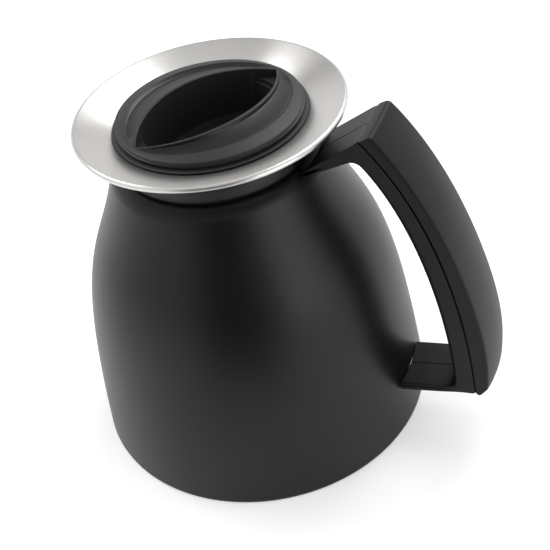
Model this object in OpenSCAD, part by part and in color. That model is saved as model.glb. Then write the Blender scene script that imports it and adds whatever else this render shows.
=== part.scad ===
// Vacuum serving jug with a wide steel pouring rim, a screw-in stopper lid and a closed handle.
// Z is the jug's axis, the base stands on z = 0, and the handle points along +X.

/* [Body] */
// Radius of the body at the base
base_r = 80.1; // [78:0.1:84]
// Height of the top edge of the pouring rim
rim_h = 160; // [158:1:164]
// Height of the turned-in top edge of the body
shoulder_h = 139.7; // [139.5:0.1:140]
// Wall of the body shell
body_wall = 0.8; // [0.6:0.1:1.2]
// Height of the bevelled base cap below the body shell
cap_h = 1.6; // [1.4:0.1:2.4]

/* [Flask] */
// Space between the body shell and the outer flask wall
air_gap = 3.4; // [2.4:0.2:4]
// Space between the two flask walls
vacuum_gap = 4.5; // [3:0.5:6]
// Steel sheet of the flask
flask_wall = 0.5; // [0.4:0.1:0.8]
// Inside radius of the flask's mouth
mouth_r = 29; // [28.6:0.1:29.2]
// Height of the flask's lip
lip_h = 125; // [124.8:0.1:125.2]

/* [Collar and rim] */
// Outside radius of the collar
collar_r = 41.4; // [41:0.1:42]
// Inside radius of the collar, behind its threads
collar_bore_r = 36.2; // [36:0.1:36.4]
// Radius of the pouring rim over its rolled edge
rim_r = 57.6; // [55:0.1:60]
// Slope of the pouring cone
rim_slope = 20.5; // [19:0.1:21]
// Radius of the rolled edge
roll_r = 1.3; // [1:0.1:1.5]

/* [Lid] */
// Outside radius of the lid
lid_r = 40; // [39.5:0.1:40.5]
// Turn of the closed lid's grip away from the handle
lid_angle = 61; // [0:1:90]
// Half the length of the grip pocket
grip_half_l = 36.8; // [36:0.1:38]
// Half the width of the grip pocket
grip_half_w = 19.5; // [17:0.1:20.5]
// Height of the pocket's floor
grip_floor_h = 140; // [138:0.5:146]
// Rise of the stopper in one full turn
thread_lead = 24; // [22:0.5:26]
// Number of thread starts
thread_starts = 4; // [3:1:4]

/* [Handle] */
// Width of both arms and of the grip's finger side
handle_w = 28; // [26:0.5:30]
// Extra width of the grip at its lower end, at the parting line
grip_flare = 2; // [0:0.2:3]
// Extra width of the cover's outer face at its lower end
cover_flare = 5; // [2:0.2:6]
// Depth of the cover's side walls at its upper end
cover_side = 5.2; // [4.5:0.1:6]
// Extra depth of the cover's side walls where it is deepest, near its lower end
cover_deepens = 2.1; // [1:0.1:3]
// Extra height of the cover's crown at its middle
cover_crown = 1.8; // [0:0.1:2.5]
// Wall of the handle mouldings
handle_wall = 2.4; // [2:0.1:3]

/* [Hidden] */
$fn = 96;
eps = 0.01;

black = [0.07, 0.07, 0.075];
soft_black = [0.12, 0.12, 0.12];
steel = [0.78, 0.77, 0.75];
silicone = [0.2, 0.2, 0.21];

// Control points of the body's side, from the base to the shoulder
body_curve = [[base_r, 0], [71.5, 109], [61.8, 90], [45.4, 139.3]];
body_steps = 24;

// Cubic curve through its end points, drawn towards its two middle points
function bez(c, t) = pow(1 - t, 3) * c[0] + 3 * t * pow(1 - t, 2) * c[1]
                   + 3 * t * t * (1 - t) * c[2] + pow(t, 3) * c[3];
function bez_pts(c, n, a = 0, b = 1) = [for (i = [0:n]) bez(c, a + (b - a) * i / n)];
function unit(v) = v / norm(v);
function tangent(p, i) = unit(p[min(i + 1, len(p) - 1)] - p[max(i - 1, 0)]);
// The path moved to its left by w, kept off the far side of the axis
function inset(p, w) = [for (i = [0:len(p) - 1]) let (t = tangent(p, i), q = p[i] + w * [-t[1], t[0]])
                        [p[i][0] == 0 ? 0 : max(0, q[0]), q[1]]];
function reverse(p) = [for (i = [len(p) - 1:-1:0]) p[i]];
// A sheet of thickness w that lies on the left of the path
function sheet(p, w) = concat(p, reverse(inset(p, w)));
// Points of an arc about a centre
function arc(c, r, a, b, n = 6) = [for (i = [0:n]) c + r * [cos(a + (b - a) * i / n), sin(a + (b - a) * i / n)]];

module revolve(p) { rotate_extrude() polygon(p); }
module ring(r1, r2, z1, z2) { revolve([[r1, z1], [r2, z1], [r2, z2], [r1, z2]]); }

// Body shell, from the seam over the base cap to the turned-in lip at the shoulder
body_t0 = 0.005;
body_t1 = 0.995;
lip_in_r = 40.8;
body_side = bez_pts(body_curve, body_steps, body_t0, body_t1);
body_path = concat(body_side, [[body_side[body_steps][0] - 0.3, shoulder_h], [lip_in_r, shoulder_h]]);

module outer_body() {
  color(black) revolve(sheet(body_path, body_wall));
}

// Solid of the body, to fit other pieces against it
module body_envelope(gap) {
  revolve(concat([[0, 0]], [for (p = body_side) p + [gap, 0]], [[0, shoulder_h]]));
}

// Base cap with its bevelled edge, a groove for the foot ring and ribs inside
cap_r = body_side[0][0];
foot_r1 = 68;
foot_r2 = 74;
cap_top = 9;
cap_in_r = bez(body_curve, cap_top / (3 * body_curve[1][1]))[0] - body_wall - 0.5;
module base_cap() {
  color(soft_black) {
    revolve([[0, 2.2], [foot_r1 - 2.5, 2.2], [foot_r1 - 1.5, 1], [foot_r1, 1], [foot_r1, 2.6], [foot_r2, 2.6],
             [foot_r2, 0.8], [cap_r - 1.2, 0.25], [cap_r - 0.6, 0.35], [cap_r - 0.15, cap_h - 0.1],
             [cap_r - body_wall - 0.3, cap_h], [cap_in_r, cap_top], [cap_in_r - 2.1, cap_top],
             [cap_in_r - 2.6, 4.6], [0, 4.6]]);
    for (a = [0:60:300])
      rotate(a) translate([30, -0.9, 4.4]) cube([38, 1.8, 2.2]);
    ring(28.5, 30.5, 4.4, 8.2);
  }
}

module foot_ring() {
  color(silicone) revolve([[foot_r1 + 0.1, 0.3], [foot_r1 + 0.4, 0], [foot_r2 - 0.4, 0], [foot_r2 - 0.1, 0.3],
                           [foot_r2 - 0.1, 2.5], [foot_r1 + 0.1, 2.5]]);
}

// Flask walls follow the body's side, then turn in over the shoulder to the neck
flask_t0 = 0.07;
flask_t1 = 0.62;
neck_out_r = mouth_r + flask_wall + vacuum_gap - flask_wall;
function flask_side(off) = [for (p = bez_pts(body_curve, 14, flask_t0, flask_t1)) p - [off, 0]];
function shoulder_curve(w, r, z) = [w, w + [-2.5, 9], [r + 14, z + 1], [r, z + 1.5]];
function flask_path(off, drop, r, z, top) =
  let (s = flask_side(off), b = s[0], w = s[len(s) - 1])
  concat([[0, b[1] - 6 + drop], [b[0] - 12, b[1] - 7.5 + drop], [b[0] - 4, b[1] - 6 + drop]],
         s, [for (i = [1:8]) bez(shoulder_curve(w, r, z), i / 8)], [[r, top]]);

off_outer = body_wall + air_gap;
off_inner = off_outer + flask_wall + vacuum_gap;
module flask_outer() {
  color(steel) revolve(sheet(flask_path(off_outer, 0, neck_out_r, 113.5, lip_h - flask_wall), flask_wall));
}

module flask_inner() {
  color(steel) {
    revolve(sheet(flask_path(off_inner, vacuum_gap, mouth_r + flask_wall, 110, lip_h), flask_wall));
    ring(mouth_r + flask_wall - eps, neck_out_r, lip_h - flask_wall, lip_h);
  }
}

flask_bottom = bez(body_curve, flask_t0)[1] - 6;
// Sealed cup under the flask, where the space between the walls was emptied
module vacuum_seal() {
  color(steel) revolve([[0, flask_bottom - 2], [9, flask_bottom - 2], [11, flask_bottom - 1.2],
                        [11, flask_bottom - 0.35], [0, flask_bottom - 0.05]]);
}

// Rubber cushion that holds the flask up in the body
module flask_cushion() {
  color(silicone) difference() {
    revolve([[30.8, 4.7], [62, 4.7], [62, 9.5], [58, flask_bottom - 1.7], [30.8, flask_bottom - 0.9]]);
    for (a = [0:60:300])
      rotate(a) translate([30, -1.2, 4.5]) cube([39, 2.4, 2.4]);
  }
}

// Below this height the collar steps in to its waist, and leaves a groove over the body's lip
collar_step = shoulder_h + 1.2;
waist_r = collar_r - 1.9;

// Bush that centres the collar in the body's lip and locks under it
module neck_bush() {
  color(soft_black) revolve([[waist_r + 0.05, 128], [waist_r + 1, 128], [lip_in_r + 1.6, 132], [lip_in_r + 1.6, 137.4],
                             [lip_in_r - 0.2, 138.4], [lip_in_r - 0.2, shoulder_h - 0.05],
                             [waist_r + 0.05, shoulder_h - 0.05]]);
}

// Height of the cone's upper side at radius r
roll_c = [rim_r - roll_r, rim_h - roll_r];
cone_end = roll_c + roll_r * [-sin(rim_slope), cos(rim_slope)];
function cone_z(r) = cone_end[1] - (cone_end[0] - r) * tan(rim_slope);
sheet_t = 0.8;
tube_r = collar_bore_r - 0.1;
tube_bottom = 146;

// Closed skin over a list of rings that all have the same number of points, each clockwise as seen along the path.
// An end that isn't level is closed by a fan from its point number hub.
module loft(rings, hub = -1) {
  n = len(rings[0]);
  last = len(rings) - 1;
  faces = concat(
    hub < 0 ? [[for (j = [0:n - 1]) j], [for (j = [n - 1:-1:0]) last * n + j]]
            : [for (s = [1:n - 2]) let (a = (hub + s) % n, b = (hub + s + 1) % n) each
               [[hub, a, b], [last * n + hub, last * n + b, last * n + a]]],
    [for (i = [0:last - 1], j = [0:n - 1]) let (k = (j + 1) % n) [i * n + j, (i + 1) * n + j, (i + 1) * n + k]],
    [for (i = [0:last - 1], j = [0:n - 1]) let (k = (j + 1) % n) [i * n + j, (i + 1) * n + k, i * n + k]]);
  polyhedron(points = [for (r = rings) for (p = r) p], faces = faces, convexity = 8);
}

// One rib of a thread: a length of ring, tilted to the thread's slope about its middle
rib_t = 2.2;
module thread_rib(r1, r2, z, lane, half_l) {
  slope = atan(thread_lead / (PI * (r1 + r2)));
  rotate(lane) intersection() {
    ring(r1, r2, z - 8, z + 8);
    translate([0, 0, z]) rotate([slope, 0, 0]) translate([r1 - 12, -half_l, -rib_t / 2]) cube([18, 2 * half_l, rib_t]);
  }
}

module collar() {
  top_in = tube_r + sheet_t + 0.1;
  color(black) {
    revolve([[31, lip_h + 1.2], [waist_r, lip_h + 1.2], [waist_r, collar_step], [collar_r, collar_step],
             [collar_r, 152.4], [collar_r - 0.5, cone_z(collar_r) - 1.3], [collar_r - 1, cone_z(collar_r - 1) - 1.9],
             [top_in, cone_z(top_in) - 1.9], [top_in, tube_bottom - 0.3], [collar_bore_r, tube_bottom - 1],
             [collar_bore_r, lip_h + 3.6], [34, lip_h + 3], [31, lip_h + 3]]);
    for (i = [0:thread_starts - 1])
      thread_rib(collar_bore_r - 2.3, collar_bore_r + 0.5, 142, 360 * (i + 0.5) / thread_starts, 13);
  }
}

module neck_seal() { color(silicone) ring(31.3, 36, lip_h + 0.02, lip_h + 1.18); }

module rim_gasket() {
  r1 = tube_r + sheet_t + 0.6;
  r2 = collar_r - 1.4;
  color(silicone) revolve([[r1, cone_z(r1) - 1.85], [r2, cone_z(r2) - 1.85], [r2, cone_z(r2) - 0.95], [r1, cone_z(r1) - 0.95]]);
}

// Spun steel funnel: tube into the collar, cone, and an edge rolled over and under
module pouring_rim() {
  bend = 1.6;
  corner = [tube_r + bend, cone_z(tube_r + bend) - bend / cos(rim_slope)];
  upper = concat([[tube_r, tube_bottom]], arc(corner, bend, 180, 90 + rim_slope, 6),
                 arc(roll_c, roll_r, 90 + rim_slope, -140, 12));
  color(steel) revolve(concat(upper, reverse(inset(upper, -sheet_t))));
}

// Handle outlines, seen from the side: the parting line between frame and cover, the finger side, and the two arms
parting_curve = [[68.6, 157.9], [96.6, 126.9], [108.6, 75.6], [111.4, 29.6]];
finger_curve = [[68, 145.4], [85.6, 122.2], [97.4, 80.6], [101, 38.9]];
arm_top = [[41.6, 139.8], [51.7, 146.4], [60.5, 152.4], [68.6, 157.9]];
arm_under = [[41.6, 138.3], [48.6, 140.6], [55.4, 143.7], [60.2, 146]];
grip_corner_top = [[60.2, 146], [63, 147.3], [65.6, 148.1], [68, 145.4]];
grip_corner_low = [[101, 38.9], [102, 31.5], [101.4, 30.2], [96, 29.5]];
foot_top = [[96, 29.5], [90, 28.8], [84, 28], [76, 27.1]];
foot_under = [[111.4, 29.6], [104, 27.3], [88, 24.6], [76, 23.1]];
grip_steps = 26;
arm_steps = 6;
corner_steps = 5;
// The upper arm ends in a hollow round the neck, and its tongue is clamped in the groove under the collar
arm_end_r = 44.6;
tongue_w = 22;

// Both outlines have the same number of points, so that each pair of points is one cross-section
frame_out = concat(bez_pts(arm_top, arm_steps + corner_steps + 1), bez_pts(parting_curve, grip_steps, 0.004, 0.996),
                   bez_pts(foot_under, arm_steps + corner_steps + 1));
frame_in = concat(bez_pts(arm_under, arm_steps), bez_pts(grip_corner_top, corner_steps, 0.1, 0.95),
                  bez_pts(finger_curve, grip_steps), bez_pts(grip_corner_low, corner_steps, 0.05, 0.9),
                  bez_pts(foot_top, arm_steps));

// Cross-section of the frame: flat at the parting line, rounded at the finger side, open channel inside.
// Its half-width runs from wo at the parting line to wi at the finger side.
function frame_ring(o, i, channel, round_r, wo, wi) =
  let (d = norm(i - o), u = (i - o) / d, cw = wi - handle_wall,
       c = min(channel, max(0.05, d - handle_wall)), draft = c < 1 ? 1.2 : 0.4, r = min(round_r, d * 0.45),
       side = arc([d - r, r - wi], r, -90, 0, 4))
  [for (q = concat([[0, -wo]], side, [[d, 0]], [for (k = [len(side) - 1:-1:0]) [side[k][0], -side[k][1]]], [[0, wo]],
                   [[0, cw], [c, cw - draft], [c, draft - cw], [0, -cw]]))
    [o[0] + u[0] * q[0], q[1], o[1] + u[1] * q[0]]];

grip_first = arm_steps + corner_steps + 2;
grip_last = grip_first + grip_steps;
// The channel runs down the grip only, with a web at every eighth section
function channel_depth(i) = (i < grip_first + 2 || i > grip_last - 2) ? 0.05
                          : ((i - grip_first) % 8 == 0 ? 1.2 : 20);

// The flare grows down the grip and fades again in the lower arm
function flare_share(i) = i <= grip_last ? max(0, (i - grip_first) / grip_steps) : max(0, 1 - (i - grip_last) / 4);
// Place of the screw, and the height of its head's underside
screw_x = 82;
screw_z = 23.8;

module handle_frame() {
  color(black) {
    difference() {
      loft([for (i = [0:len(frame_out) - 1])
        frame_ring(frame_out[i], frame_in[i], channel_depth(i), (i > grip_first - 3 && i < grip_last + 3) ? 3.4 : 1,
                   (handle_w + grip_flare * flare_share(i)) / 2, handle_w / 2)], 6);
      ring(0, arm_end_r, shoulder_h - 4, 147);
      ring(0, arm_end_r + 2, shoulder_h - 4, shoulder_h + 0.15);
      body_envelope(0.4);
      translate([70, -6.2, screw_z + 1.45]) cube([17, 12.4, 1.4]);
      translate([screw_x, 0, screw_z - 2]) cylinder(r = 1.7, h = 5);
      translate([screw_x, 0, screw_z - 3]) cylinder(r = 3.2, h = 3.95);
    }
    intersection() {
      ring(waist_r + 0.2, arm_end_r + 1, shoulder_h + 0.15, collar_step - 0.1);
      translate([30, -tongue_w / 2, shoulder_h - 1]) cube([20, tongue_w, 4]);
    }
  }
}

// The cover's depth falls away in a round at its lower end, by end_cut of the whole
end_round = 0.036;
end_cut = 0.58;
// Radius of the cover's edges, and the fine gap at the parting line
edge_r = 1.3;
seam = 0.15;
// Angle by which the cover's upper end leans outwards from square
end_lean = 13;
function cover_depth(t) = 1 - end_cut * (1 - sqrt(1 - pow(max(0, t - 1 + end_round) / end_round, 2)));
function cover_ring(t, hollow) =
  let (p = bez(parting_curve, t),
       q = unit(bez(parting_curve, min(1, t + 0.01)) - bez(parting_curve, max(0, t - 0.01))),
       lean = end_lean * pow(max(0, 1 - t / 0.08), 2),
       out = [q[0] * sin(lean) - q[1] * cos(lean), q[0] * cos(lean) + q[1] * sin(lean)],
       k = cover_depth(t),
       half = (handle_w + grip_flare * t) / 2,
       w = (handle_w - 0.6 + cover_flare * t) / 2,
       side = cover_side + cover_deepens * sin(180 * pow(t, 3)),
       crown = cover_crown * min(1, 0.2 + t * 2.4),
       edge = [for (a = [90, 65, 40, 15]) [k * (side + edge_r * (cos(a) - 1)), w + edge_r * (sin(a) - 1)]],
       top = [for (j = [1:7]) let (y = (w - edge_r) * (1 - j / 4)) [k * (side + crown * (1 - pow(y / w, 2))), y]],
       cw = half - handle_wall,
       deep = max(0.3, hollow * (side + crown * 0.6 - handle_wall)),
       draft = deep < 1 ? 1.2 : 0.5)
  [for (s = concat([[0, half]], edge, top, [for (j = [3:-1:0]) [edge[j][0], -edge[j][1]]], [[0, -half]],
                   [[0, -cw], [deep, draft - cw], [deep, cw - draft], [0, cw]]))
    [p[0] + out[0] * (s[0] + seam), s[1], p[1] + out[1] * (s[0] + seam)]];

cover_steps = 30;
module handle_cover() {
  color(black) loft([for (i = [0:cover_steps])
    let (t = i < cover_steps - 8 ? i / (cover_steps - 8) * (1 - end_round)
           : 1 - end_round * (1 - sin(90 * (i - cover_steps + 8) / 8)))
    cover_ring(t * 0.998, (i < 2 || i > cover_steps - 7) ? 0 : 1)], 8);
}

// Steel tongue welded to the body, which the lower arm is pushed over
module lower_bracket() {
  color(steel) difference() {
    translate([74, -6, screw_z + 1.55]) cube([12.5, 12, 1.2]);
    body_envelope(0);
    translate([screw_x, 0, screw_z]) cylinder(r = 1.25, h = 5);
  }
}

module lower_screw() {
  color(steel) {
    translate([screw_x, 0, screw_z]) cylinder(r = 2.7, h = 0.9);
    translate([screw_x, 0, screw_z + 0.8]) cylinder(r = 1.2, h = 1.9);
  }
}

// Two circles set apart overlap in the grip's pointed oval
grip_c = (pow(grip_half_l, 2) - pow(grip_half_w, 2)) / (2 * grip_half_w);
grip_arc_r = grip_c + grip_half_w;
// The recesses beside the grip end in a wider oval with the same points
recess_half_w = 33.3;
recess_c = (pow(grip_half_l, 2) - pow(recess_half_w, 2)) / (2 * recess_half_w);
ridge_w = 1.7;
grip_top = 164;

// Pointed oval, along X, whose arcs narrow by draft degrees towards the bottom
module oval(c, r, z1, z2, draft = 0) {
  k = tan(draft) * (z2 - z1);
  translate([0, 0, z1]) intersection() {
    translate([0, c, 0]) cylinder(r1 = r - k, r2 = r, h = z2 - z1);
    translate([0, -c, 0]) cylinder(r1 = r - k, r2 = r, h = z2 - z1);
  }
}

flange_r = 41.3;
// Ring level at the recess, its fall outwards, and the crest of the ridges
ring_in_h = 160.3;
ring_out_h = 158.9;
ridge_h = 161.9;
ridge_end_h = 159.2;
arch_r = (pow(grip_half_l, 2) + pow(ridge_h - ridge_end_h, 2)) / (2 * (ridge_h - ridge_end_h));
flange_h = 154.4;
stopper_r = 33.4;
stopper_bore = 31.9;

module lid_cap() {
  slope = (ring_in_h - ring_out_h) / (lid_r - 0.8 - recess_half_w);
  color(black) rotate(lid_angle) difference() {
    union() {
      revolve(concat([[0, 155.85], [lid_r - 1.8, 155.85], [lid_r - 1.8, 156.6], [lid_r - 0.3, 156.6]],
                     arc([lid_r - 1.4, 157.7], 1.4, -20, 70, 6),
                     [[12, ring_in_h + slope * (recess_half_w - 12)], [0, ring_in_h + slope * (recess_half_w - 12)]]));
      intersection() {
        oval(grip_c, grip_arc_r + 1.6, grip_floor_h - 2, 156, 3);
        translate([0, 0, grip_floor_h - 2]) cylinder(r = stopper_bore - 0.3, h = 20);
      }
    }
    // Recesses on both sides of the ridges, with a floor that rises a little to the ridges
    difference() {
      oval(recess_c, recess_half_w + recess_c, 156, grip_top + 2);
      oval(grip_c, grip_arc_r + ridge_w, 155, grip_top + 3);
      translate([0, 0, 150]) cylinder(r1 = 116, r2 = 8.5, h = 11.5);
    }
    // The ridges' crest is an arch from one point of the grip to the other
    difference() {
      translate([-50, -50, ridge_end_h - 2]) cube([100, 100, 10]);
      translate([0, 60, ridge_h - arch_r]) rotate([90, 0, 0]) cylinder(r = arch_r, h = 120, $fn = 200);
      difference() {
        translate([0, 0, ridge_end_h - 3]) cylinder(r = lid_r + 1, h = 12);
        oval(recess_c, recess_half_w + recess_c - 0.01, ridge_end_h - 4, grip_top + 9);
      }
    }
    oval(grip_c, grip_arc_r, 154, grip_top, 3);
    intersection() {
      oval(grip_c, grip_arc_r - 0.4, grip_floor_h, 155, 3);
      translate([0, 0, grip_floor_h]) cylinder(r = stopper_bore - 2, h = 20);
    }
  }
}

module lid_body() {
  color(soft_black) {
    revolve([[25.5, 125.2], [27, 125.2], [27, 128.6], [stopper_r - 1, 128.6], [stopper_r, 129.6],
             [stopper_r, flange_h - 2.6], [stopper_r + 1, flange_h - 1.8], [flange_r - 0.4, flange_h + 0.5],
             [flange_r, flange_h + 0.8], [flange_r, flange_h + 1.1], [flange_r - 0.3, flange_h + 1.4],
             [stopper_bore, flange_h + 1.4], [stopper_bore, 130.4], [25.5, 130.4]]);
    for (i = [0:thread_starts - 1])
      thread_rib(stopper_r - 0.5, collar_bore_r - 0.6, 136, 360 * i / thread_starts, 21);
  }
}

module lid_ring() { color(silicone) ring(lid_r - 1.7, lid_r - 1, flange_h + 1.5, 156.5); }

module lid_foam() {
  color([0.9, 0.88, 0.8]) ring(0, stopper_bore - 0.3, 130.5, grip_floor_h - 2.2);
}

module lid_base() {
  color(soft_black) revolve([[0, 123.6], [mouth_r - 1.8, 123.6], [mouth_r - 1, 124.2], [mouth_r - 1, 125.1], [25.4, 125.1],
                             [25.4, 130.3], [23.6, 130.3], [23.6, 125.2], [0, 125.2]]);
}

module lid_seal() {
  color(silicone) revolve([[27.1, 125.3], [28.6, 125.3], [30.6, 126], [30.6, 128], [30.2, 128.4], [27.1, 128.4]]);
}

outer_body();
base_cap();
foot_ring();
flask_outer();
flask_inner();
vacuum_seal();
flask_cushion();
neck_bush();
collar();
neck_seal();
rim_gasket();
pouring_rim();
handle_frame();
handle_cover();
lower_bracket();
lower_screw();
lid_cap();
lid_body();
lid_ring();
lid_foam();
lid_base();
lid_seal();
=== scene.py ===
import math

import bmesh
import bpy
from mathutils import Matrix, Vector


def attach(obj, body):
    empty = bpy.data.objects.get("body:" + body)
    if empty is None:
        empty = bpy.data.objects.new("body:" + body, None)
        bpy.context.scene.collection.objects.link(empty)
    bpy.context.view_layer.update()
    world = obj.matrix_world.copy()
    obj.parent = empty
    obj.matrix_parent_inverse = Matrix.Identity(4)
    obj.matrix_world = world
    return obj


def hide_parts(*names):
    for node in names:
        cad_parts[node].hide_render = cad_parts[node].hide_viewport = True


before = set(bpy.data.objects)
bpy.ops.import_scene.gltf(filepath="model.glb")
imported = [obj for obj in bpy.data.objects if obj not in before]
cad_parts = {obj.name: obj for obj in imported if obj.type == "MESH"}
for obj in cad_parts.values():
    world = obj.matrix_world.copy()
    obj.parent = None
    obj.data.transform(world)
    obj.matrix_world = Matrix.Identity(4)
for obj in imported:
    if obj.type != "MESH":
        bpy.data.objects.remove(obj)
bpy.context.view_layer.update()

# Body shell: one drawing of steel sheet, wide at the foot and drawn in to a lip that turns into the neck.
# Sprayed with satin black lacquer, which leaves a faint orange peel and slightly glossier handling marks.
MM = 0.001
BODY_SIDE = [(80.1, 0), (71.5, 109), (61.8, 90), (45.4, 139.3)]
BODY_FIRST, BODY_LAST, SHOULDER_FIRST = 0.005, 0.995, 0.963
BODY_WALL = 0.8
SHOULDER_Z = 139.7
LIP_R = 40.8


class Socket:
    """A shader socket. Sums of sockets and numbers add Math nodes."""

    def __init__(self, finish, socket):
        self.finish, self.socket = finish, socket

    def math(self, operation, *values):
        return self.finish.node("ShaderNodeMath", {"operation": operation}, dict(enumerate(values)))

    def __add__(self, other):
        return self.math("ADD", self, other)

    def __sub__(self, other):
        return self.math("SUBTRACT", self, other)

    def __mul__(self, other):
        return self.math("MULTIPLY", self, other)

    def __truediv__(self, other):
        return self.math("DIVIDE", self, other)

    def __pow__(self, other):
        return self.math("POWER", self, other)

    __radd__ = __add__
    __rmul__ = __mul__


class Finish:
    """A procedural material. Constants go on the shader itself, and node() adds everything else."""

    def __init__(self, name, **constants):
        self.material = bpy.data.materials.new(name)
        self.material.use_nodes = True
        self.tree = self.material.node_tree
        self.shader = self.tree.nodes["Principled BSDF"]
        for socket, value in constants.items():
            self.shader.inputs[socket.replace("_", " ")].default_value = value

    def node(self, kind, settings=None, inputs=None, output=0):
        made = self.tree.nodes.new(kind)
        for setting, value in (settings or {}).items():
            if setting == "stops":
                ramp = made.color_ramp
                while len(ramp.elements) < len(value):
                    ramp.elements.new(0.5)
                for element, (place, grey) in zip(ramp.elements, value):
                    element.position, element.color = place, (grey, grey, grey, 1)
            else:
                setattr(made, setting, value)
        for key, value in (inputs or {}).items():
            if isinstance(value, Socket):
                self.tree.links.new(value.socket, made.inputs[key])
            else:
                made.inputs[key].default_value = value
        return Socket(self, made.outputs[output])

    def where(self):
        return self.node("ShaderNodeTexCoord", output="Object")

    def noise(self, vector, scale, detail=2, roughness=0.5):
        return self.node("ShaderNodeTexNoise", None,
                         {"Vector": vector, "Scale": scale, "Detail": detail, "Roughness": roughness})

    def ramp(self, value, *stops):
        return self.node("ShaderNodeValToRGB", {"stops": stops}, {0: value})

    def blend(self, factor, first, second):
        return self.node("ShaderNodeMix", {"data_type": "RGBA"},
                         {"Factor": factor, 6: (*first, 1) if isinstance(first, tuple) else first,
                          7: (*second, 1) if isinstance(second, tuple) else second}, 2)

    def give(self, socket, value):
        self.tree.links.new(value.socket, self.shader.inputs[socket])

    def bump(self, height, depth):
        """Relief whose full range of 1 is depth metres."""
        made = self.tree.nodes.new("ShaderNodeBump")
        made.inputs["Distance"].default_value = depth
        made.inputs["Strength"].default_value = 1
        self.tree.links.new(height.socket, made.inputs["Height"])
        self.tree.links.new(made.outputs[0], self.shader.inputs["Normal"])


def bezier(points, t):
    """Point at t on a cubic curve with four control points."""
    a, b, c, d = (Vector(p) for p in points)
    s = 1 - t
    return s ** 3 * a + 3 * s * s * t * b + 3 * s * t * t * c + t ** 3 * d


def curve(points, steps, start=0.0, end=1.0):
    return [bezier(points, start + (end - start) * i / steps) for i in range(steps + 1)]


def rounded(points, radii, steps=3, closed=True):
    """The line with its corners turned into small arcs, which never use more than 0.45 of a side."""
    out = []
    for i, (point, radius) in enumerate(zip(points, radii)):
        if not radius or (not closed and i in (0, len(points) - 1)):
            out.append(point)
            continue
        back, ahead = points[i - 1] - point, points[(i + 1) % len(points)] - point
        half = back.angle(ahead, math.pi) / 2
        cut = min(radius / math.tan(max(half, 0.02)), 0.45 * back.length, 0.45 * ahead.length)
        start, end = point + back.normalized() * cut, point + ahead.normalized() * cut
        out += [start.lerp(point, k / steps).lerp(point.lerp(end, k / steps), k / steps)
                for k in range(steps + 1)]
    return out


def offset(line, width):
    """The line moved to its left by width."""
    out = []
    for i, point in enumerate(line):
        along = (line[min(i + 1, len(line) - 1)] - line[max(i - 1, 0)]).normalized()
        out.append(point + width * Vector((-along.y, along.x)))
    return out


def turned(bm, outline, steps=192):
    """Spins an outline of (radius, height) points in mm about the axis. It closes unless it starts on the axis."""
    line = [bm.verts.new((max(r, 0) * MM, 0, z * MM)) for r, z in outline]
    edges = [bm.edges.new(pair) for pair in zip(line, line[1:])]
    if outline[0][0] > 0:
        edges.append(bm.edges.new((line[-1], line[0])))
    bmesh.ops.spin(bm, geom=line + edges, axis=(0, 0, 1), cent=(0, 0, 0), dvec=(0, 0, 0),
                   angle=2 * math.pi, steps=steps, use_merge=True)
    return bm


def piece(name, bm, finish, body, slot, *nodes, crease=38):
    """Turns a bmesh into a finished piece that rides on a body and stands for CAD nodes."""
    bmesh.ops.remove_doubles(bm, verts=bm.verts, dist=1e-6)
    bmesh.ops.dissolve_degenerate(bm, dist=1e-7, edges=bm.edges)
    bmesh.ops.recalc_face_normals(bm, faces=bm.faces)
    mesh = bpy.data.meshes.new(name)
    bm.to_mesh(mesh)
    bm.free()
    mesh.polygons.foreach_set("use_smooth", [True] * len(mesh.polygons))
    mesh.set_sharp_from_angle(angle=math.radians(crease))
    mesh.materials.append(finish.material)
    made = bpy.data.objects.new(name, mesh)
    bpy.context.scene.collection.objects.link(made)
    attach(made, body)
    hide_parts(*nodes)
    return made


satin_black = Finish("satin_black_lacquer", IOR=1.36)
place = satin_black.where()
clouds = satin_black.noise(place, 14, 3)
peel = satin_black.noise(place, 700, 2)
grain = satin_black.noise(place, 3200, 2)
satin_black.give("Base Color", satin_black.blend(clouds, (0.001, 0.001, 0.0011), (0.0024, 0.0024, 0.0025)))
satin_black.give("Roughness", 0.33 + clouds * 0.07 + grain * 0.05)
satin_black.bump(peel * 0.7 + grain * 0.3, 0.000006)

body_side = curve(BODY_SIDE, 90, BODY_FIRST, BODY_LAST)
shoulder = [bezier(BODY_SIDE, 0.965), Vector((45.6, 137.9)), Vector((43.2, 139.4)), Vector((LIP_R, SHOULDER_Z))]
shell_line = curve(BODY_SIDE, 88, BODY_FIRST, SHOULDER_FIRST) + curve(shoulder, 12)
shell_inside = offset(shell_line, BODY_WALL)
piece("body_shell", turned(bmesh.new(), shell_line + shell_inside[::-1], 256), satin_black, "jug",
      "satin_black_shell", "outer_body")

# Base cap: a moulded disc pushed into the shell's open foot, with a bevelled edge and a step for the rubber ring.
# Its matt spark-eroded texture is a little lighter than the lacquer beside it.
CAP_R, CAP_SKIRT_Z = body_side[0].x, 9
FOOT_RISE = 3 * BODY_SIDE[1][1]
FOOT_R1, FOOT_R2 = 68, 74
PLASTIC_IOR = 1.44


def moulded(name, dark, light, rough, spark=0.00001, ior=PLASTIC_IOR):
    """Black moulded plastic with a spark-eroded texture, faint flow clouds and edges polished by use."""
    made = Finish(name, IOR=ior)
    spot = made.where()
    flow, pits = made.noise(spot, 22, 3), made.noise(spot, 2300, 3, 0.6)
    edge = made.ramp(made.node("ShaderNodeNewGeometry", output="Pointiness"), (0.5, 0), (0.62, 1))
    made.give("Base Color", made.blend(edge * 0.35 + flow * 0.5, (dark,) * 3, (light,) * 3))
    made.give("Roughness", rough + flow * 0.06 + pits * 0.05 - edge * 0.1)
    made.bump(pits * 0.8 + made.noise(spot, 600, 2) * 0.4, spark)
    return made


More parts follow.
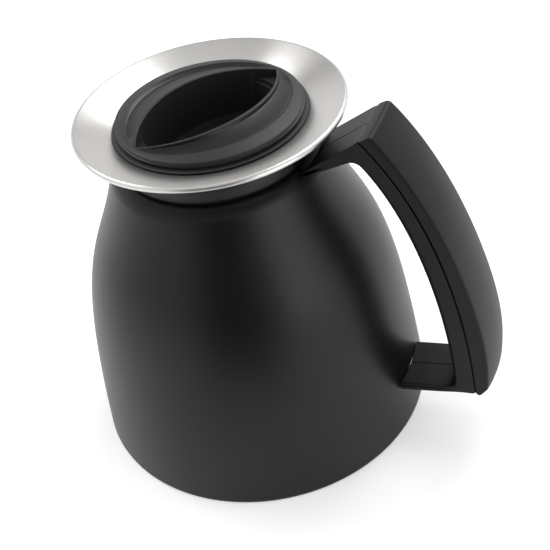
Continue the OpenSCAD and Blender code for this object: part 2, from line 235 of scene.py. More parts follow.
base_black = moulded("base_moulding", 0.02, 0.034, 0.46)
CAP_IN = bezier(BODY_SIDE, CAP_SKIRT_Z / FOOT_RISE).x - BODY_WALL - 0.5
cap_outline = [((0, 2.2), 0), ((FOOT_R1 - 2.5, 2.2), 0.6), ((FOOT_R1 - 1.5, 1), 0.4), ((FOOT_R1, 1), 0.3),
               ((FOOT_R1, 2.6), 0.2), ((FOOT_R2, 2.6), 0.2), ((FOOT_R2, 0.8), 0.3), ((CAP_R - 1.2, 0.25), 0.2),
               ((CAP_R - 0.25, 0.3), 0.5), ((CAP_R - 0.1, 1.45), 0.1), ((CAP_R - BODY_WALL - 0.3, 1.6), 0),
               ((CAP_IN, CAP_SKIRT_Z), 0.3), ((CAP_IN - 2.1, CAP_SKIRT_Z), 0.3), ((CAP_IN - 2.6, 4.6), 0.5),
               ((0, 4.6), 0)]
cap_line = rounded([Vector(p) for p, _ in cap_outline], [radius for _, radius in cap_outline])
piece("base_disc", turned(bmesh.new(), cap_line, 256), base_black, "jug", "base_plastic", "base_cap")

# Foot ring: a rubber ring pressed into the base cap's groove, on which the jug stands.
# Dull, with two fine grip grooves round its underside.
rubber = moulded("foot_rubber_dull", 0.018, 0.03, 0.7, 0.00002)
foot_corners = [(FOOT_R1 + 0.1, 2.5), (FOOT_R1 + 0.1, 0.3), (FOOT_R1 + 0.4, 0), (70, 0), (70.3, 0.4), (70.6, 0),
                (71.4, 0), (71.7, 0.4), (72, 0), (FOOT_R2 - 0.4, 0), (FOOT_R2 - 0.1, 0.3), (FOOT_R2 - 0.1, 2.5)]
piece("rubber_foot", turned(bmesh.new(), [Vector(p) for p in foot_corners]), rubber, "jug", "foot_rubber",
      "foot_ring")

# Collar: the black moulded neck between shoulder and steel rim, with four short lengths of thread inside.
# The stopper's threads run under them and pull its seal down on the flask's mouth.
LIP_Z = 125
COLLAR_R, COLLAR_BORE = 41.4, 36.2
WAIST_R, COLLAR_STEP = COLLAR_R - 1.9, SHOULDER_Z + 1.2
RIM_R, ROLL_R = 57.6, 1.3
RIM_TOP = 160
RIM_SLOPE = math.radians(20.5)
TUBE_R, TUBE_BOTTOM, SHEET = COLLAR_BORE - 0.1, 146, 0.8
THREAD_LEAD, THREAD_STARTS, THREAD_THICK = 24, 4, 2.2
roll_centre = Vector((RIM_R - ROLL_R, RIM_TOP - ROLL_R))
cone_end = roll_centre + ROLL_R * Vector((-math.sin(RIM_SLOPE), math.cos(RIM_SLOPE)))


def cone_z(r):
    """Height of the pouring cone's upper side at radius r."""
    return cone_end.y - (cone_end.x - r) * math.tan(RIM_SLOPE)


def swept(corners, turn, steps, climb=0.0):
    """Spins four corners, in mm, about the axis by turn radians while they climb, and closes both ends."""
    bm = bmesh.new()
    ring = [bm.verts.new(Vector(corner) * MM) for corner in corners]
    edges = [bm.edges.new((ring[k - 1], ring[k])) for k in range(4)]
    bmesh.ops.spin(bm, geom=ring + edges, axis=(0, 0, 1), cent=(0, 0, 0), dvec=(0, 0, climb / steps * MM),
                   angle=turn, steps=steps)
    bmesh.ops.holes_fill(bm, edges=[e for e in bm.edges if e.is_boundary], sides=4)
    return bm


def absorb(bm, extra):
    """Adds the whole of a second bmesh to the first."""
    part = bpy.data.meshes.new("part")
    extra.to_mesh(part)
    extra.free()
    bm.from_mesh(part)
    bpy.data.meshes.remove(part)


def thread_ribs(bm, r1, r2, z, first, half_angle):
    """Four helical ribs from radius r1 to r2 about height z, with rounded edges."""
    half, fall = THREAD_THICK / 2, THREAD_LEAD * half_angle / 360
    for lane in range(THREAD_STARTS):
        side = [(r1, -half - 0.3), (r2, -half), (r2, half), (r1, half + 0.3)]
        rib = swept([(r, 0, z - fall + h) for r, h in side], math.radians(2 * half_angle),
                    max(6, int(half_angle / 2)), 2 * fall)
        bmesh.ops.recalc_face_normals(rib, faces=rib.faces)
        sharp = [e for e in rib.edges if e.calc_face_angle(0) > 1]
        bmesh.ops.bevel(rib, geom=sharp, offset=0.4 * MM, offset_type="OFFSET", segments=2, profile=0.5,
                        affect="EDGES", material=-1, clamp_overlap=True)
        turn = math.radians(first + 360 * lane / THREAD_STARTS - half_angle)
        bmesh.ops.rotate(rib, verts=rib.verts, cent=(0, 0, 0), matrix=Matrix.Rotation(turn, 3, "Z"))
        absorb(bm, rib)


collar_black = moulded("collar_moulding", 0.002, 0.005, 0.4, 0.000007)
seat_r = TUBE_R + SHEET + 0.1
collar_corners = [(31, LIP_Z + 1.2), (WAIST_R, LIP_Z + 1.2), (WAIST_R, COLLAR_STEP), (COLLAR_R, COLLAR_STEP),
                  (COLLAR_R, 152.4), (COLLAR_R - 0.5, cone_z(COLLAR_R) - 1.3),
                  (COLLAR_R - 1, cone_z(COLLAR_R - 1) - 1.9), (seat_r, cone_z(seat_r) - 1.9),
                  (seat_r, TUBE_BOTTOM - 0.3), (COLLAR_BORE, TUBE_BOTTOM - 1), (COLLAR_BORE, LIP_Z + 3.6),
                  (34, LIP_Z + 3), (31, LIP_Z + 3)]
collar_rounds = [0.4, 0.3, 0, 0.3, 0, 0.4, 0, 0, 0.2, 0.3, 0.8, 0, 0.4]
collar = turned(bmesh.new(), rounded([Vector(p) for p in collar_corners], collar_rounds))
thread_ribs(collar, COLLAR_BORE + 0.5, COLLAR_BORE - 2.3, 142, 45, 20)
piece("neck_collar", collar, collar_black, "jug", "collar_plastic", "collar")

# Pouring rim: a spun steel funnel, brushed in rings on the lathe, with its edge rolled over and under.
# It drops into the collar on a gasket and pours all the way round.
BEND, CONE_ANGLE, ROLL_END = 1.6, 110.5, -140


def spun_steel(name, base, light, rough, ring_scale, depth, **constants):
    """Stainless steel brushed in rings about the jug's axis, with soft wipe marks."""
    made = Finish(name, Metallic=1.0, **constants)
    spot = made.where()
    flat = made.node("ShaderNodeVectorMath", {"operation": "MULTIPLY"}, {0: spot, 1: (1, 1, 0)})
    radius = made.node("ShaderNodeVectorMath", {"operation": "LENGTH"}, {0: flat}, "Value")
    height = made.node("ShaderNodeSeparateXYZ", None, {0: spot}, 2)
    sector = made.node("ShaderNodeVectorMath", {"operation": "NORMALIZE"}, {0: flat})
    rings = made.node("ShaderNodeCombineXYZ", None, {0: radius * ring_scale, 1: height * ring_scale, 2: 0.0})
    strokes = made.node("ShaderNodeVectorMath", {"operation": "MULTIPLY_ADD"},
                        {0: sector, 1: (2.5, 2.5, 2.5), 2: rings})
    lines = made.noise(strokes, 1, 4, 0.65)
    wipe = made.noise(spot, 28, 3)
    made.give("Base Color", made.blend(lines * 0.6 + wipe * 0.4, base, light))
    made.give("Roughness", rough + lines * 0.1 + wipe * 0.08)
    made.bump(lines, depth)
    return made


rim_steel = spun_steel("spun_rim_steel", (0.56, 0.545, 0.53), (0.7, 0.69, 0.675), 0.2, 2600, 0.000012,
                       Anisotropic=0.75, Anisotropic_Rotation=0.25)


def arc(centre, radius, start, end, steps):
    """Points of an arc, with its angles in degrees."""
    return [centre + radius * Vector((math.cos(a), math.sin(a)))
            for a in (math.radians(start + (end - start) * i / steps) for i in range(steps + 1))]


bend_centre = Vector((TUBE_R + BEND, cone_z(TUBE_R + BEND) - BEND / math.cos(RIM_SLOPE)))
funnel = ([Vector((TUBE_R, TUBE_BOTTOM))] + arc(bend_centre, BEND, 180, CONE_ANGLE, 8)
          + arc(roll_centre, ROLL_R, CONE_ANGLE, ROLL_END, 20))
funnel_back = offset(funnel, -SHEET)
piece("steel_rim", turned(bmesh.new(), funnel + funnel_back[::-1], 288), rim_steel, "jug", "brushed_rim",
      "pouring_rim")

# Handle frame: the inner moulding, from the hollow end at the neck over both arms and the finger side of the grip.
# Its tongue is clamped in the groove under the collar. A fine mould line runs along the middle of both arms, and
# a groove along the finger side of the lower one.
HANDLE_W, GRIP_FLARE = 28, 2
ARM_END_R, TONGUE_W = 44.6, 22
MOULD_LINE_DEPTH, MOULD_LINE_W, ARM_GROOVE = 0.35, 0.3, 0.55
HANDLE_IOR = 1.33
ARM_FOOT_R = 76
PARTING = [(68.6, 157.9), (96.6, 126.9), (108.6, 75.6), (111.4, 29.6)]
FINGERS = [(68, 145.4), (85.6, 122.2), (97.4, 80.6), (101, 38.9)]
ARM_TOP = [(41.6, 139.8), (51.7, 146.4), (60.5, 152.4), (68.6, 157.9)]
ARM_UNDER = [(41.6, 138.3), (48.6, 140.6), (55.4, 143.7), (60.2, 146)]
CORNER_TOP = [(60.2, 146), (63, 147.3), (65.6, 148.1), (68, 145.4)]
CORNER_LOW = [(101, 38.9), (102, 31.5), (101.4, 30.2), (96, 29.5)]
FOOT_TOP = [(96, 29.5), (90, 28.8), (84, 28), (76, 27.1)]
FOOT_UNDER = [(111.4, 29.6), (104, 27.3), (88, 24.6), (76, 23.1)]
ARM_STEPS, CORNER_STEPS, GRIP_STEPS = 14, 10, 48


def smooth(value, low, high):
    """0 below low, 1 above high, and an even rise between."""
    t = min(1, max(0, (value - low) / (high - low)))
    return t * t * (3 - 2 * t)


def body_radius(z):
    """Radius of the shell at height z."""
    above = next(i for i, p in enumerate(body_side) if p.y >= z)
    low, high = body_side[max(above - 1, 0)], body_side[above]
    return low.x + (high.x - low.x) * (z - low.y) / max(high.y - low.y, 1e-6)


def body_height(r):
    """Height of the shell's surface at radius r."""
    if r <= body_side[-1].x:
        return SHOULDER_Z
    low = max(i for i, p in enumerate(body_side) if p.x >= r)
    a, b = body_side[low], body_side[min(low + 1, len(body_side) - 1)]
    return a.y + (b.y - a.y) * (a.x - r) / max(a.x - b.x, 1e-6)


def grow(bm, ring, points):
    """Extrudes a closed ring of vertices, and puts the new ring at points, which are in mm."""
    edges = [bm.edges.get((ring[i - 1], ring[i])) for i in range(len(ring))]
    fresh = {v for v in bmesh.ops.extrude_edge_only(bm, edges=edges)["geom"] if isinstance(v, bmesh.types.BMVert)}
    out = [next(e.other_vert(v) for e in v.link_edges if e.other_vert(v) in fresh) for v in ring]
    for vert, point in zip(out, points):
        vert.co = Vector(point) * MM
    return out


def lofted(bm, sections, capped=True):
    """A skin through sections that all have the same number of points, with both ends closed if capped."""
    ring = bmesh.ops.create_circle(bm, segments=len(sections[0]), radius=1, cap_ends=capped)["verts"]
    for vert, point in zip(ring, sections[0]):
        vert.co = Vector(point) * MM
    for section in sections[1:]:
        ring = grow(bm, ring, section)
    if capped:
        bm.faces.new(ring)


def frame_section(out, fingers, round_r, flare, gap, groove):
    """One cross-section: a mould line towards the cover, rounded at the fingers, with a groove of a given depth."""
    depth, half = (fingers - out).length, HANDLE_W / 2
    way = (fingers - out) / depth
    r = min(round_r, depth * 0.45)

    def width(q, sunk=0):
        return half + flare * max(0, 1 - q / (depth - r)) - sunk

    side = [(depth, 0.3), (depth, 0.5), (depth, 0.6 * (half - r))]
    side += [(depth - r + r * math.cos(a), half - r + r * math.sin(a))
             for a in (math.radians(15 * k) for k in range(7))]
    low, high = max(depth - r - 0.3, depth * 0.5), min(1.5, depth * 0.48)
    for place, sunk in ((low - 0.05, groove), (high + 0.8, 0)):
        side += [(place, width(place)), (place - 0.1, width(place, sunk)), (place - 0.6, width(place, sunk)),
                 (place - 0.7, width(place))]
    side += [(0.45, width(0.45)), (0.42, width(0, 1.2 * gap)), (0.06, width(0, 0.06 + 1.2 * gap)),
             (0, width(0, 0.25 + 1.2 * gap)), (0, width(0, 0.6 + 1.2 * gap)), (0, 0.5), (0, MOULD_LINE_W)]
    whole = [(depth - 0.25, 0)] + side + [(MOULD_LINE_DEPTH, 0)] + [(q, -y) for q, y in reversed(side)]
    return [Vector((out.x + way.x * q, y, out.y + way.y * q)) for q, y in whole]


handle_black = moulded("handle_moulding", 0.0015, 0.004, 0.42, 0.000009, HANDLE_IOR)
line_out = (curve(ARM_TOP, ARM_STEPS + CORNER_STEPS + 1) + curve(PARTING, GRIP_STEPS, 0.004, 0.996)
            + curve(FOOT_UNDER, ARM_STEPS + CORNER_STEPS + 1))
line_in = (curve(ARM_UNDER, ARM_STEPS) + curve(CORNER_TOP, CORNER_STEPS, 0.05, 0.97) + curve(FINGERS, GRIP_STEPS)
           + curve(CORNER_LOW, CORNER_STEPS, 0.03, 0.95) + curve(FOOT_TOP, ARM_STEPS))
last = len(line_out) - 1
grip_start = ARM_STEPS + CORNER_STEPS + 2
grip_end = grip_start + GRIP_STEPS
sections = []
for i, (out, fingers) in enumerate(zip(line_out, line_in)):
    # i counts the stations from the neck, and left counts them from the body.
    left = last - i
    grip = smooth(i, grip_start - 12, grip_start + 2) * smooth(left, grip_start - 12, grip_start + 2)
    down = min(1, max(0, (i - grip_start) / GRIP_STEPS)) * (1 - smooth(i, last - grip_start, last - grip_start + 9))
    gap = smooth(i, grip_start - 3, grip_start - 1) * (1 - smooth(i, grip_end, grip_end + 2))
    groove = ARM_GROOVE * (1 - smooth(left, ARM_STEPS, ARM_STEPS + 3))
    section = frame_section(out, fingers, 0.9 + 2.5 * grip, GRIP_FLARE / 2 * down, gap, groove)
    near_neck, near_body = 1 - smooth(i, 0, 8), 1 - smooth(left, 0, 8)
    for point in section:
        if near_neck:
            point.x += near_neck * (3 + math.sqrt(ARM_END_R ** 2 - point.y ** 2) - ARM_END_R)
            point.z = max(point.z, 0.2 + body_height(math.hypot(point.x, point.y) - 0.4))
        if near_body:
            reach = body_radius(point.z) + 0.35
            point.x += near_body * (math.sqrt(reach ** 2 - point.y ** 2) - ARM_FOOT_R)
    sections.append(section)
handle = bmesh.new()
lofted(handle, sections)
half_turn = math.asin(TONGUE_W / 2 / ARM_END_R)
TONGUE_IN, TONGUE_OUT = WAIST_R + 0.2, ARM_END_R + 0.6
TONGUE_LOW, TONGUE_HIGH = SHOULDER_Z + 0.2, COLLAR_STEP - 0.1
tongue_corners = [(r * math.cos(half_turn), -r * math.sin(half_turn), z)
                  for r, z in ((TONGUE_IN, TONGUE_LOW), (TONGUE_OUT, TONGUE_LOW), (TONGUE_OUT, TONGUE_HIGH),
                               (TONGUE_IN, TONGUE_HIGH))]
absorb(handle, swept(tongue_corners, 2 * half_turn, 24))
piece("handle_inner", handle, handle_black, "jug", "handle_plastic", "handle_frame", crease=50)

# Handle cover: the crowned outer shell of the grip, clipped into the frame along a fine parting gap.
# It starts with a flat bevel above the upper arm, and its lower end slopes in to a crisp corner.
COVER_SIDE, COVER_DEEPENS, COVER_CROWN, COVER_FLARE = 5.2, 2.1, 1.8, 5
EDGE_R, SEAM, END_LEAN = 1.3, 0.15, math.radians(13)
RIDGE_T, RIDGE_ROUND, END_T = 0.0136, 1.7, 0.036
END_SLOPE = [(0.1, 0.985), (0.2, 0.955), (0.35, 0.885), (0.5, 0.8), (0.65, 0.71), (0.8, 0.615), (0.9, 0.54),
             (0.96, 0.48), (1, 0.41)]


def cover_section(t, share, edge_r):
    """One cross-section of the cover at t along the parting line, with its depth scaled by share."""
    here = bezier(PARTING, t)
    along = (bezier(PARTING, min(1, t + 0.01)) - bezier(PARTING, max(0, t - 0.01))).normalized()
    lean = END_LEAN * max(0, 1 - t / 0.08) ** 2
    away = math.cos(lean) * Vector((-along.y, along.x)) + math.sin(lean) * along
    foot = (HANDLE_W + GRIP_FLARE * t) / 2
    half = (HANDLE_W - 0.6 + COVER_FLARE * t) / 2
    side = share * (COVER_SIDE + COVER_DEEPENS * math.sin(math.pi * t ** 3))
    crown = share * COVER_CROWN * min(1, 0.2 + t * 2.4)
    top = [(side + crown * (1 - (k / 12) ** 2), half * k / 12) for k in range(11)]
    edge = [Vector((0, foot - 0.3)), Vector((0.3, foot)), Vector((side, half))] + [Vector(p) for p in top[::-1]]
    line = rounded(edge, [0, 0.2, edge_r] + [0] * (len(edge) - 3), 5, closed=False)
    whole = [(q.x, q.y) for q in line] + [(q.x, -q.y) for q in reversed(line[:-1])]
    return [Vector((here.x + away.x * (q + SEAM), y, here.y + away.y * (q + SEAM))) for q, y in whole]


cover_black = moulded("cover_moulding", 0.0015, 0.004, 0.42, 0.000009, HANDLE_IOR)
sections = []
for down in (0, 0.06, 0.2, 0.4, 0.65):
    cut = RIDGE_ROUND * (1 - math.sqrt(1 - (1 - down) ** 2))
    sections.append(cover_section(down * RIDGE_T, 1 - cut / 5.6, EDGE_R * (0.7 + 0.3 * down)))
sections += [cover_section(RIDGE_T + (1 - RIDGE_T - END_T) * i / 56, 1, EDGE_R) for i in range(57)]
for down, share in END_SLOPE:
    sections.append(cover_section(1 - END_T + (END_T - 0.002) * down, share, EDGE_R * (1 + 0.8 * down)))
cover = bmesh.new()
lofted(cover, sections)
piece("handle_outer", cover, cover_black, "jug", "handle_plastic", "handle_cover", crease=50)

# Lid cap: one thick moulding with a pointed oval grip pocket between two ridges.
# A crescent recess rises from the sloped outer ring to each ridge, so that finger and thumb find them.
LID_TURN = math.radians(61)
LID_R = 40
GRIP_L, GRIP_W, RECESS_W, RIDGE_W = 36.8, 19.5, 33.3, 1.7
POCKET_FLOOR, WELL_TOP, CAP_UNDER = 140, 154.4, 138
WELL_R, GROOVE_R, WELD_R = 29.9, 38.2, 31.5
EDGE_UNDER, WELD_Z = 156.6, 155.9
RING_IN_Z, RING_OUT_Z = 160.3, 158.9
RIDGE_Z, RIDGE_END_Z = 161.9, 159.2
RECESS_Z, RECESS_FALL = 162.41, 0.107
AROUND = 240


def oval_point(half_l, half_w, share):
    """Point of a pointed oval: share runs 0 to 1 once round, from the middle of one long side."""
    c = (half_l ** 2 - half_w ** 2) / (2 * half_w)
    r = c + half_w
    side, along = (1, share * 4) if share < 0.25 else (-1, 2 - share * 4) if share < 0.75 else (1, share * 4 - 4)
    angle = math.asin(half_l / r) * along
    return Vector((r * math.sin(angle), side * (r * math.cos(angle) - c)))


def ring_level(r):
    """Height of the sloped outer ring at radius r."""
    return RING_IN_Z + (RING_OUT_Z - RING_IN_Z) * (r - RECESS_W) / (LID_R - 0.8 - RECESS_W)


def recess_level(r):
    """Height of the recess floor, which rises a little towards the ridges."""
    return RECESS_Z - RECESS_FALL * r


def ridge_level(x):
    """Height of the ridge's crest, an arch from one point of the grip to the other."""
    return RIDGE_END_Z + (RIDGE_Z - RIDGE_END_Z) * (1 - (x / GRIP_L) ** 2)


def within(point, radius):
    """The point, or the nearest one that is no further out than radius."""
    return point if point.length < radius else point.normalized() * radius


def lid_column(share):
    """The cap's section at one place round it, from the pocket's floor to the lid's edge and its underside."""
    wall_top = oval_point(GRIP_L, GRIP_W, share)
    wall_low = oval_point(GRIP_L - 0.5, GRIP_W - 0.3, share)
    well_top = within(oval_point(GRIP_L - 0.52, GRIP_W - 0.32, share), WELL_R)
    well_low = within(oval_point(GRIP_L - 2.5, GRIP_W - 1.2, share), WELL_R - 0.7)
    outer = oval_point(GRIP_L + 0.9, GRIP_W + RIDGE_W, share)
    foot = oval_point(GRIP_L + 1, GRIP_W + RIDGE_W + 0.4, share)
    floor = oval_point(GRIP_L + 1.1, RECESS_W - 1.8, share)
    far = oval_point(GRIP_L + 1.2, RECESS_W, share)
    around = far.normalized()
    crest = ridge_level(wall_top.x)
    rise = min(1, max(0, (far.length - outer.length - 0.4) / 3))
    foot_z = crest - 0.1 - rise * max(0, crest - 0.1 - recess_level(foot.length))
    floor_z = ring_level(far.length) - 0.02 - rise * (ring_level(far.length) - recess_level(floor.length))
    edge = around * (LID_R - 0.25)
    groove, weld = around * GROOVE_R, around * WELD_R
    points = [(0, 0, POCKET_FLOOR), (*well_low, POCKET_FLOOR), (*well_top, WELL_TOP), (*wall_low, WELL_TOP + 0.2),
              (*wall_top, crest), (*outer, crest - 0.05), (*foot, foot_z), (*floor, floor_z),
              (*far, ring_level(far.length)), (*edge, ring_level(LID_R - 0.3)), (*edge, EDGE_UNDER),
              (*groove, EDGE_UNDER), (*groove, WELD_Z), (*weld, WELD_Z), (*weld, CAP_UNDER), (0, 0, CAP_UNDER)]
    radii = [0, 2, 0, 0, 0.75, 0.75, 0.6, 3.2, 0.35, 1.4, 0.4, 0.1, 0, 0, 0, 0]
    return rounded([Vector(p) for p in points], radii, 4, closed=False)


lid_black = Finish("lid_moulding", IOR=PLASTIC_IOR)
lid_place = lid_black.where()
along = lid_black.node("ShaderNodeVectorRotate", {"rotation_type": "Z_AXIS"},
                       {"Vector": lid_place, "Angle": -LID_TURN})
over = lid_black.node("ShaderNodeSeparateXYZ", None, {0: along}, 0)
across = lid_black.node("ShaderNodeSeparateXYZ", None, {0: along}, 1)
across = across.math("ABSOLUTE", across)


def in_oval(half_w, half_l=GRIP_L):
    """1 inside the pointed oval and 0 outside it."""
    c = (half_l ** 2 - half_w ** 2) / (2 * half_w)
    reach = ((across + c * MM) ** 2 + over ** 2) ** 0.5
    return reach.math("LESS_THAN", reach, (c + half_w) * MM)


pocket = in_oval(GRIP_W + 0.1)
hollow_shade = in_oval(RECESS_W - 0.3) - in_oval(GRIP_W + RIDGE_W + 0.2) + pocket
speckle = lid_black.noise(lid_place, 2300, 3, 0.6)
# Painted shade: the crescent recesses and the grip pocket get a darker base colour than the ring and ridges.
lid_black.give("Base Color", lid_black.blend(hollow_shade, (0.007, 0.007, 0.0072), (0.0012, 0.0012, 0.0013)))
lid_black.give("Roughness", 0.42 + speckle * 0.06 - hollow_shade * 0.16 + pocket * 0.5)
lid_black.bump(speckle * 0.8 + lid_black.noise(lid_place, 600, 2) * 0.4, 0.000008)
columns = [lid_column(k / AROUND) for k in range(AROUND)]
cap = bmesh.new()
lofted(cap, list(zip(*columns)), capped=False)
bmesh.ops.rotate(cap, verts=cap.verts, cent=(0, 0, 0), matrix=Matrix.Rotation(LID_TURN, 3, "Z"))
piece("lid_top", cap, lid_black, "lid", "lid_plastic", "lid_cap", crease=60)

# Lid ring: a soft ring that fills the groove between the lid's top and its flange.
# It hides the weld between the two mouldings and centres the lid in the funnel.
FLANGE_Z = 154.4
soft_black = moulded("black_silicone", 0.012, 0.02, 0.5, 0.000004)
ring_corners = [Vector(p) for p in [(LID_R - 1.7, FLANGE_Z + 1.5), (LID_R - 1, FLANGE_Z + 1.5), (LID_R - 1, 156.5),
                                    (LID_R - 1.7, 156.5)]]
piece("groove_ring", turned(bmesh.new(), rounded(ring_corners, [0.2] * 4)), soft_black, "lid", "silicone",
      "lid_ring")

# Stopper: the flange that rests over the funnel's throat, and the hollow plug with four helical ribs.
# Moulded in a slightly greyer, matt plastic that stays out of sight while the lid is closed.
STOPPER_R, STOPPER_BORE = 33.4, 31.9
stopper_black = moulded("stopper_moulding", 0.018, 0.03, 0.45, 0.00001)
FLANGE_R = 41.3
stopper_corners = [(25.5, 125.2), (27, 125.2), (27, 128.6), (STOPPER_R - 1, 128.6), (STOPPER_R, 129.6),
                   (STOPPER_R, FLANGE_Z - 2.6), (STOPPER_R + 1, FLANGE_Z - 1.8), (FLANGE_R - 0.4, FLANGE_Z + 0.5),
                   (FLANGE_R, FLANGE_Z + 0.8), (FLANGE_R, FLANGE_Z + 1.1), (FLANGE_R - 0.3, FLANGE_Z + 1.4),
                   (STOPPER_BORE, FLANGE_Z + 1.4), (STOPPER_BORE, 130.4), (25.5, 130.4)]
stopper = turned(bmesh.new(), rounded([Vector(p) for p in stopper_corners],
                                      [0.2, 0.2, 0.2, 0.4, 0.4, 0.3, 0.3, 0.2, 0.15, 0.1, 0.15, 0, 0, 0]))
thread_ribs(stopper, STOPPER_R - 0.5, COLLAR_BORE - 0.6, 136, 0, 37)
piece("stopper_plug", stopper, stopper_black, "lid", "stopper_plastic", "lid_body")

# Stopper base and seal: a snapped-in disc closes the plug underneath, and a silicone ring round it seals the flask.
# The disc has a shallow dish, and the seal a chamfer that meets the flask's mouth.
base_corners = [(0, 124), (20, 124), (22, 123.6), (27.2, 123.6), (28, 124.2), (28, 125.1), (25.4, 125.1),
                (25.4, 130.3), (23.6, 130.3), (23.6, 125.2), (0, 125.2)]
piece("stopper_base", turned(bmesh.new(), rounded([Vector(p) for p in base_corners],
                                                  [0, 0.6, 0.6, 0.3, 0.2, 0.2, 0.1, 0.2, 0.2, 0.2, 0])),
      stopper_black, "lid", "stopper_plastic", "lid_base")
grey_silicone = moulded("grey_silicone", 0.16, 0.21, 0.42, 0.000004)
seal_corners = [(27.1, 125.3), (28.6, 125.3), (30.6, 126), (30.6, 128), (30.2, 128.4), (27.1, 128.4)]
seal_line = rounded([Vector(p) for p in seal_corners], [0.2, 0.3, 0.2, 0.2, 0.2, 0.2])
piece("stopper_seal_ring", turned(bmesh.new(), seal_line),
      grey_silicone, "stopper_seal", "silicone", "lid_seal")

# Inner parts that keep their CAD shape: the flask's two walls, its seal and cushion, and the neck's bush and rings.
# Drawn steel shows fine rings from the die, and the hidden mouldings are plain.
flask_steel = spun_steel("drawn_flask_steel", (0.5, 0.49, 0.475), (0.62, 0.61, 0.6), 0.26, 1400, 0.000008)
pressed_steel = spun_steel("pressed_bracket_steel", (0.42, 0.42, 0.41), (0.55, 0.55, 0.54), 0.34, 900, 0.000006)
foam_white = moulded("insulating_foam", 0.7, 0.82, 0.8, 0.00004)
for node, finish in {"flask_inner": flask_steel, "flask_outer": flask_steel, "vacuum_seal": flask_steel,
                     "flask_cushion": rubber, "neck_bush": base_black, "neck_seal": grey_silicone,
                     "rim_gasket": soft_black, "lower_bracket": pressed_steel, "lower_screw": pressed_steel,
                     "lid_foam": foam_white}.items():
    for material_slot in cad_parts[node].material_slots:
        material_slot.material = finish.material

# Studio: a pale paper floor, a bright room all round and three soft boxes.
# The camera stands where the photograph was taken from, half a metre away and looking down.
def loose_object(name, bm, finish):
    """An object of the studio, with one finish."""
    mesh = bpy.data.meshes.new(name)
    bm.to_mesh(mesh)
    bm.free()
    mesh.materials.append(finish.material)
    made = bpy.data.objects.new(name, mesh)
    bpy.context.scene.collection.objects.link(made)
    return made


floor_paper = Finish("pale_floor", Roughness=0.8, Emission_Strength=0.33)
fibres = floor_paper.noise(floor_paper.where(), 6)
floor_paper.give("Base Color", floor_paper.blend(fibres, (0.87, 0.87, 0.87), (0.89, 0.89, 0.89)))
floor_paper.shader.inputs["Emission Color"].default_value = (1, 1, 1, 1)
floor_paper.shader.inputs["Specular IOR Level"].default_value = 0
floor = bmesh.new()
bmesh.ops.create_grid(floor, x_segments=1, y_segments=1, size=3)
loose_object("floor", floor, floor_paper)

# The room: bright to the left and right, and darker half way up in front of the camera and behind it.
ROOM_SIDE = 0.95
ROOM_HEIGHTS = [(0.0, 1.0), (0.45, 0.95), (0.62, 0.3), (0.82, 0.3), (0.9, 1.0), (1.0, 1.0)]
CAMERA_WAY = (-0.5, 0.866, 0)
world = bpy.data.worlds.new("studio")
world.use_nodes = True
room, wires = world.node_tree.nodes, world.node_tree.links
direction = room.new("ShaderNodeTexCoord").outputs["Generated"]
rise = room.new("ShaderNodeSeparateXYZ")
shade = room.new("ShaderNodeValToRGB")
while len(shade.color_ramp.elements) < len(ROOM_HEIGHTS):
    shade.color_ramp.elements.new(0.5)
for step, (height, grey) in zip(shade.color_ramp.elements, ROOM_HEIGHTS):
    step.position, step.color = height, (grey, grey, grey, 1)
towards = room.new("ShaderNodeVectorMath")
towards.operation = "DOT_PRODUCT"
towards.inputs[1].default_value = CAMERA_WAY
both_ways = room.new("ShaderNodeMath")
both_ways.operation = "ABSOLUTE"
share = room.new("ShaderNodeMapRange")
share.inputs["From Min"].default_value, share.inputs["From Max"].default_value = 0.3, 0.5
blend = room.new("ShaderNodeMix")
blend.inputs[2].default_value = ROOM_SIDE
for source, target in [(direction, rise.inputs[0]), (rise.outputs["Z"], shade.inputs[0]),
                       (direction, towards.inputs[0]), (towards.outputs["Value"], both_ways.inputs[0]),
                       (both_ways.outputs[0], share.inputs[0]),
                       (share.outputs[0], blend.inputs[0]), (shade.outputs[0], blend.inputs[3]),
                       (blend.outputs[0], room["Background"].inputs["Color"])]:
    wires.new(source, target)
room["Background"].inputs["Strength"].default_value = 1.0
bpy.context.scene.world = world


MID_HEIGHT = 0.08


def soft_box(name, azimuth, elevation, distance, size, power):
    """A square soft light that faces the jug's middle from a direction given in degrees."""
    a, e = math.radians(azimuth), math.radians(elevation)
    spot = Vector((math.cos(a) * math.cos(e), math.sin(a) * math.cos(e), math.sin(e))) * distance
    data = bpy.data.lights.new(name, "AREA")
    data.size, data.energy = size, power
    lamp = bpy.data.objects.new(name, data)
    lamp.location = spot + Vector((0, 0, MID_HEIGHT))
    lamp.rotation_mode = "QUATERNION"
    lamp.rotation_quaternion = spot.to_track_quat("Z", "Y")
    bpy.context.scene.collection.objects.link(lamp)


soft_box("left_box", 168, 49, 1.5, 0.55, 5)
soft_box("back_box", 80, 50, 1.5, 0.8, 9)
soft_box("right_box", -20, 10, 1.3, 0.7, 3.3)

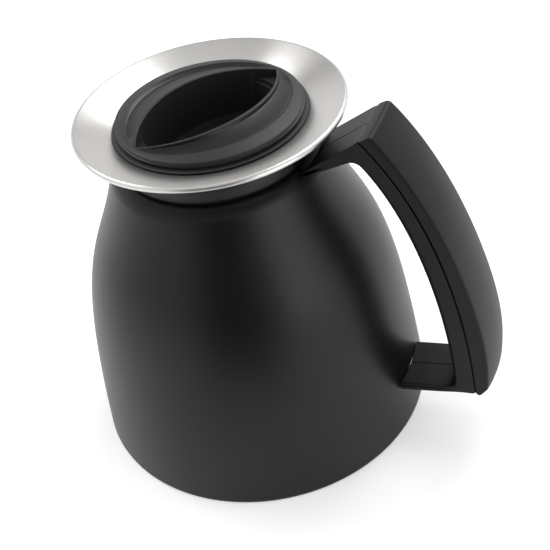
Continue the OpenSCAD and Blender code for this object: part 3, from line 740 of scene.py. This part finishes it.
# A black card curves up in front of the jug and is only seen as a reflection in the shiny pieces.
CARD_TURN, CARD_HALF = math.radians(-70), 0.6
CARD_SIDE = [(0.17, 0.002), (0.3, 0.006), (0.5, 0.03), (0.7, 0.1), (0.8, 0.25), (0.8, 0.45)]
card = bmesh.new()
start = CARD_TURN - CARD_HALF
line = [card.verts.new((r * math.cos(start), r * math.sin(start), z)) for r, z in CARD_SIDE]
edges = [card.edges.new(pair) for pair in zip(line, line[1:])]
bmesh.ops.spin(card, geom=line + edges, axis=(0, 0, 1), cent=(0, 0, 0), dvec=(0, 0, 0),
               angle=2 * CARD_HALF, steps=24)
card_black = Finish("card_black", Roughness=1.0)
card_black.shader.inputs["Base Color"].default_value = (0.02, 0.02, 0.02, 1)
card_black.shader.inputs["Specular IOR Level"].default_value = 0
card_place = card_black.where()
spot = card_black.node("ShaderNodeSeparateXYZ", None, {0: card_place}, 0)
depth = card_black.node("ShaderNodeSeparateXYZ", None, {0: card_place}, 1)
ahead_of = spot * math.cos(CARD_TURN) + depth * math.sin(CARD_TURN)
aside = (spot * -math.sin(CARD_TURN) + depth * math.cos(CARD_TURN)) / ahead_of
spread = card_black.ramp(aside.math("ABSOLUTE", aside), (0.25, 1), (0.7, 0))
near = card_black.ramp(ahead_of, (0.14, 0), (0.3, 0.75), (0.6, 1))
card_black.give("Alpha", spread * near)
black_card = loose_object("black_card", card, card_black)
black_card.visible_camera = black_card.visible_diffuse = black_card.visible_shadow = False

CAMERA_AT = (0.184731, -0.319964, 0.374888)
HEADING, PITCH, ROLL = math.radians(117.815), math.radians(40.104), math.radians(-10.742)
camera_data = bpy.data.cameras.new("camera")
camera_data.sensor_width = 36
camera_data.lens = 67.19
camera_data.clip_start = 0.01
camera = bpy.data.objects.new("camera", camera_data)
ahead = Vector((math.cos(HEADING) * math.cos(PITCH), math.sin(HEADING) * math.cos(PITCH), -math.sin(PITCH)))
level = Vector((math.sin(HEADING), -math.cos(HEADING), 0))
upright = level.cross(ahead)
right = level * math.cos(ROLL) + upright * math.sin(ROLL)
upward = upright * math.cos(ROLL) - level * math.sin(ROLL)
turn = Matrix((right, upward, -ahead)).transposed().to_4x4()
camera.matrix_world = Matrix.Translation(CAMERA_AT) @ turn
bpy.context.scene.collection.objects.link(camera)
bpy.context.scene.camera = camera
bpy.context.scene.view_settings.view_transform = "Standard"
